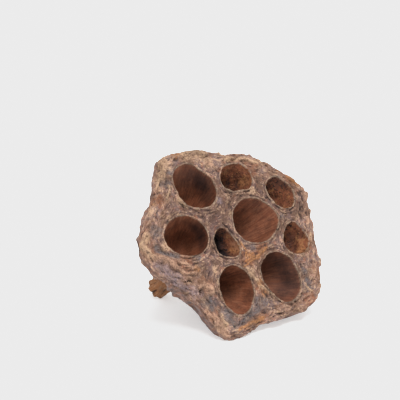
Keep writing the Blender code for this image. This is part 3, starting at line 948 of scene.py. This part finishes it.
def husk_finish():
    """Dull dried husk: crumpled face, lips, cell linings, streaked skin and fibrous stem."""
    material, nodes = new_finish("dried_husk")
    mixed = nodes.mixed
    here = nodes.add("ShaderNodeTexCoord", {}, output="Object")
    grain = nodes.value("grain", "Vector")
    lip, lining, crumbly, wall, stem, pith, margin, stain = map(nodes.value, VALUES)
    pale, deep = nodes.value("pale"), nodes.value("deep")

    blotch = nodes.noise(here, 230.0, 3.0, 0.6)
    mottle = nodes.noise(here, 620.0, 3.0, 0.6)
    speck = nodes.noise(here, 2300.0, 2.0, 0.6)
    fleck = nodes.noise(here, 1300.0, 2.0, 0.6, 0.6)
    streak = nodes.noise(grain, 1.1, 4.0, 0.65)
    fine_streak = nodes.noise(grain, 4.0, 2.0, 0.6)
    lining_streak = nodes.noise(grain, 1.9, 2.0, 0.55, 0.4)

    face = mixed(blotch.clear(0.44, 0.6), TAN, MAUVE)
    edge = mixed(blotch.clear(0.46, 0.6), MARGIN_TAN, MARGIN_GREY)
    face = mixed(margin, face, edge)
    face = mixed((mottle * 0.7 + blotch * 0.3).clear(0.54, 0.66) * 0.7, face, RUST)
    light = mixed(mottle.clear(0.42, 0.6), CREAM, PINK)
    face = mixed(pale * speck.clear(0.3, 0.55) * 0.75, face, light)
    face = patched(nodes, face, speck.clear(0.3, 0.66) * 0.7 + mottle * 0.5)
    face = mixed(fleck.clear(0.56, 0.68) * 0.55, face, FLECK)
    face = mixed(pale * speck.clear(0.4, 0.6) * 0.5, face, light)
    # Painted shade in the face's hollows, with random specks
    hollow_shade = (deep + speck.clear(0.45, 0.3) * 0.3).clear(0.0, 1.1)
    face = mixed(hollow_shade * 0.8, face, CREVICE_SHADE)

    skin = mixed(streak.clear(0.42, 0.6), SKIN_MAUVE, SKIN_RUST)
    skin = mixed(pale * 0.5, skin, SKIN_PALE)
    # Painted shade in the wall's grooves
    skin = mixed(deep * 0.6, skin, CREVICE_SHADE)
    colour = mixed(wall.clear(0.2, 0.9), face, skin)

    fibre = mixed(pale * 0.5, STEM_OCHRE, STEM_PALE)
    # Dark streaks of the stem's fibres, and painted shade in its grooves
    fibre = mixed((streak * 0.6 + deep * 0.5).clear(0.3, 0.75), fibre, STEM_DARK)
    fibre = mixed(pith * 0.6, fibre, PITH_COLOUR)
    colour = mixed(stem, colour, fibre)

    inside = mixed(lining.clear(0.25, 0.95), LINING_SHALLOW, LINING_DEEP)
    # Pale streaks strongest near the mouth and fading with depth: painted light falling into the
    # cell; darker in the streaks' grooves: painted shade
    inside = mixed(pale * (1 - lining * 0.7) * 0.35, inside, LINING_PALE)
    inside = mixed(deep * 0.3, inside, LINING_DEEP)
    lit = lining_streak.clear(0.5, 0.66) * (1 - lining * 0.6) * 0.45
    inside = mixed(lit, inside, LINING_PALE)
    inside = mixed(lining_streak.clear(0.48, 0.34) * 0.5, inside, LINING_DARK)
    ochre = (mottle * 0.5 + speck * 0.3 + pale * 0.3).clear(0.4, 0.6)
    crumb = mixed(ochre, CRUMB_RUST, CRUMB_OCHRE)
    crumb = mixed(nodes.value("orange") * speck * 0.9, crumb, ORANGE)
    # Painted shade on the crumbly lining: darker in its hollows and deeper in the cell, with
    # random specks
    hollow_shade = (deep * 0.5 + speck * 0.3 + lining * 0.7).clear(0.45, 1.1)
    crumb = mixed(hollow_shade, crumb, CRUMB_SHADE)
    inside = mixed(crumbly, inside, crumb)
    # Painted light where a cell's marks are below 0, and painted shade where they are above
    inside = mixed((stain * -1.0).clear(0.0, 1.0), inside, LINING_PALE)
    inside = mixed((stain + streak * 0.5 - 0.25).clear(0.05, 1.1), inside, SHADE)
    colour = mixed(lining.clear(0.0, 0.2), colour, inside)
    lip_shade = mixed(mottle.clear(0.42, 0.6), LIP_COLOUR, LIP_TAN)
    colour = mixed(lip * speck.clear(0.25, 0.6) * 0.8, colour, lip_shade)
    colour = nodes.shaded(colour, 0.2 + speck * 0.9 + blotch.clear(0.3, 0.7) * 0.6)

    roughness = 0.84 - lining.clear(0.0, 0.3) * (1 - crumbly) * 0.2
    height = speck * 0.5 + mottle * 0.3 + fine_streak * wall * 0.6
    normal = nodes.add("ShaderNodeBump", {}, Strength=0.6, Distance=0.0002, Height=height)
    nodes.surface(
        Base_Color=colour, Roughness=roughness, Normal=normal, Specular_IOR_Level=0.35,
    )
    return material


def bits_finish(name, dark, middle, light):
    """Dull finish of small bits, each with a tone of its own."""
    material, nodes = new_finish(name)
    mixed = nodes.mixed
    tone = nodes.value("tone")
    here = nodes.add("ShaderNodeTexCoord", {}, output="Object")
    blotch = nodes.noise(here, 230.0, 3.0, 0.6)
    colour = mixed(tone.clear(0.0, 0.5), dark, middle)
    colour = mixed(tone.clear(0.5, 1.0), colour, light)
    colour = patched(nodes, colour, 0.2 + tone * 0.3)
    # Painted shade on the crumbs: the cells' painted shade marks, and darker deeper in a cell
    shadow = nodes.value("stain") + nodes.value("lining") * nodes.value("crumbly") * 0.5
    colour = mixed(shadow.clear(0.1, 0.8), colour, SHADE)
    colour = nodes.shaded(colour, 0.66 + blotch.clear(0.3, 0.7) * 0.6)
    nodes.surface(Base_Color=colour, Roughness=0.85, Specular_IOR_Level=0.3)
    return material


def bits_tree(name, fineness, finish):
    """Spreads bits over a surface, laid along its run, where it carries a value."""
    tree = bpy.data.node_groups.new(name, "GeometryNodeTree")
    for label, way, kind in (
        ("Surface", "INPUT", "Geometry"), ("Where", "INPUT", "String"),
        ("Density", "INPUT", "Float"), ("Smallest", "INPUT", "Vector"),
        ("Largest", "INPUT", "Vector"), ("Seed", "INPUT", "Int"), ("Bits", "OUTPUT", "Geometry"),
    ):
        tree.interface.new_socket(name=label, in_out=way, socket_type="NodeSocket" + kind)
    nodes = Nodes(tree)
    given = nodes.add("NodeGroupInput", {})
    seed = given.beside("Seed")
    number, vector = {"data_type": "FLOAT"}, {"data_type": "FLOAT_VECTOR"}
    where = nodes.add("GeometryNodeInputNamedAttribute", number, given.beside("Where"))
    run = nodes.add("GeometryNodeInputNamedAttribute", vector, "run")
    density = where * given.beside("Density")
    points = nodes.add("GeometryNodeDistributePointsOnFaces", {}, given, None, density, seed)
    sway = nodes.add("FunctionNodeRandomValue", vector, (-0.6,) * 3, (0.6,) * 3, None, seed + 1)
    run = nodes.add("ShaderNodeVectorMath", {"operation": "NORMALIZE"}, run)
    run = nodes.add("ShaderNodeVectorMath", {"operation": "ADD"}, run, sway)
    laid = nodes.add(
        "FunctionNodeAlignRotationToVector", {"axis": "X", "pivot_axis": "Z"},
        points.beside("Rotation"), 1.0, run,
    )
    smallest, largest = given.beside("Smallest"), given.beside("Largest")
    size = nodes.add("FunctionNodeRandomValue", vector, smallest, largest, None, seed + 2)
    tone = nodes.add("FunctionNodeRandomValue", number, 0.0, 1.0, None, seed + 3)
    toned = nodes.add("GeometryNodeStoreNamedAttribute", number, points, None, "tone", tone)
    bit = nodes.add("GeometryNodeMeshIcoSphere", {}, 1.0, fineness)
    placed_bits = nodes.add(
        "GeometryNodeInstanceOnPoints", {}, toned, None, bit, None, None, laid, size,
    )
    real = nodes.add("GeometryNodeRealizeInstances", {}, placed_bits)
    nodes.add("NodeGroupOutput", {}, nodes.add("GeometryNodeSetMaterial", {}, real, None, finish))
    return tree


def spread(husk, name, settings, fineness, finish):
    """Bits that Geometry Nodes spreads over the husk, as a piece of their own."""
    tree = bits_tree(name, fineness, finish)
    piece = show(name, husk.data.copy())
    modifier = piece.modifiers.new(name, "NODES")
    modifier.node_group = tree
    for item in tree.interface.items_tree:
        if item.name in settings:
            modifier[item.identifier] = settings[item.name]
    evaluated = piece.evaluated_get(bpy.context.evaluated_depsgraph_get())
    mesh = bpy.data.meshes.new_from_object(evaluated)
    piece.modifiers.clear()
    piece.data = mesh
    places = np.empty(len(mesh.vertices) * 3, np.float32)
    mesh.vertices.foreach_get("co", places)
    mesh.vertices.foreach_set("co", boxed(places.reshape(-1, 3)).astype(np.float32).ravel())
    mesh.shade_smooth()
    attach(piece, "root")


# Camera: its turn and height round the pod, its distance and lens, and how far the face's
# middle lies right of and below the picture's middle, in millimetres
CAMERA_AZIMUTH, CAMERA_ELEVATION = -30.0, 18.0
CAMERA_DISTANCE = 500.0
CAMERA_LENS = 140.625
CAMERA_CLIP = (0.01, 50.0)
CAMERA_ASIDE, CAMERA_ABOVE = 9.92, 13.76

# Studio: the key light's strength, spread and direction, and the light all round
KEY_STRENGTH, KEY_SPREAD = 3.6, 28.0
KEY_FROM = (-0.15, -0.42, 0.9)
STUDIO_STRENGTH = 0.8
FLOOR_SIZE = 8.0
FLOOR_COLOUR = (0.72, 0.72, 0.72, 1)
FLOOR_GLOW = 0.45
WHITE = (1, 1, 1, 1)
# Film: brightness of the scene, and of the picture
FILM_TONES = ((0.5, 0.5), (0.7, 0.69), (0.82, 0.78))
FILM_WHITE = (1.0, 0.832)


def add_camera():
    """Camera at the photograph's viewing angle."""
    azimuth, elevation = radians(CAMERA_AZIMUTH), radians(CAMERA_ELEVATION)
    back = Vector((sin(azimuth) * cos(elevation), -cos(azimuth) * cos(elevation), sin(elevation)))
    right = Vector((cos(azimuth), sin(azimuth), 0))
    above = back.cross(right)
    place = Vector(FACE_MIDDLE) + CAMERA_DISTANCE * back
    place = place - CAMERA_ASIDE * right + CAMERA_ABOVE * above
    data = bpy.data.cameras.new("camera")
    data.lens = CAMERA_LENS
    data.clip_start, data.clip_end = CAMERA_CLIP
    camera = bpy.data.objects.new("camera", data)
    bpy.context.scene.collection.objects.link(camera)
    turned = Matrix((right, above, back)).transposed().to_4x4()
    camera.matrix_world = Matrix.Translation(place * METRE) @ turned
    bpy.context.scene.camera = camera


def add_floor():
    """Plain pale floor."""
    half = FLOOR_SIZE / 2
    corners = np.array(((-half, -half, 0), (half, -half, 0), (half, half, 0), (-half, half, 0)))
    material = bpy.data.materials.new("pale_floor")
    material.use_nodes = True
    shader = material.node_tree.nodes["Principled BSDF"]
    shader.inputs["Base Color"].default_value = FLOOR_COLOUR
    shader.inputs["Emission Color"].default_value = WHITE
    shader.inputs["Emission Strength"].default_value = FLOOR_GLOW
    shader.inputs["Roughness"].default_value = 1.0
    shader.inputs["Specular IOR Level"].default_value = 0.0
    mesh = bpy.data.meshes.new("floor")
    mesh.from_pydata(corners.tolist(), [], [(0, 1, 2, 3)])
    show("floor", mesh, material)


def add_lights():
    """Soft key light from above the camera, and an even bright studio round it."""
    data = bpy.data.lights.new("key", "SUN")
    data.energy = KEY_STRENGTH
    data.angle = radians(KEY_SPREAD)
    key = bpy.data.objects.new("key", data)
    bpy.context.scene.collection.objects.link(key)
    key.rotation_mode = "QUATERNION"
    key.rotation_quaternion = Vector(KEY_FROM).to_track_quat("Z", "Y")
    world = bpy.data.worlds.new("studio")
    world.use_nodes = True
    sky = world.node_tree.nodes["Background"]
    sky.inputs["Color"].default_value = WHITE
    sky.inputs["Strength"].default_value = STUDIO_STRENGTH
    bpy.context.scene.world = world


def set_film():
    """High-key film: the bright floor levels off at one pale grey."""
    film = bpy.context.scene.view_settings
    film.view_transform = "Standard"
    film.use_curve_mapping = True
    film.curve_mapping.extend = "HORIZONTAL"
    film.curve_mapping.use_clip = False
    tone = film.curve_mapping.curves[3]
    for bright, shown in FILM_TONES:
        tone.points.new(bright, shown)
    tone.points[-1].location = FILM_WHITE
    film.curve_mapping.update()


def main():
    """Makes the pod and its studio."""
    add_camera()
    add_floor()
    add_lights()
    set_film()
    husk = make_husk(husk_finish())
    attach(husk, "root")
    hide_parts("lotus_pod")
    strings = bits_finish("loose_strings", MARGIN_GREY, PINK, CREAM)
    spread(husk, "strings", STRINGS, 2, strings)
    crumbs = bits_finish("crumbs", CRUMB_BROWN, CRUMB_RUST, CRUMB_OCHRE)
    spread(husk, "crumbs", CRUMBS, 1, crumbs)


main()
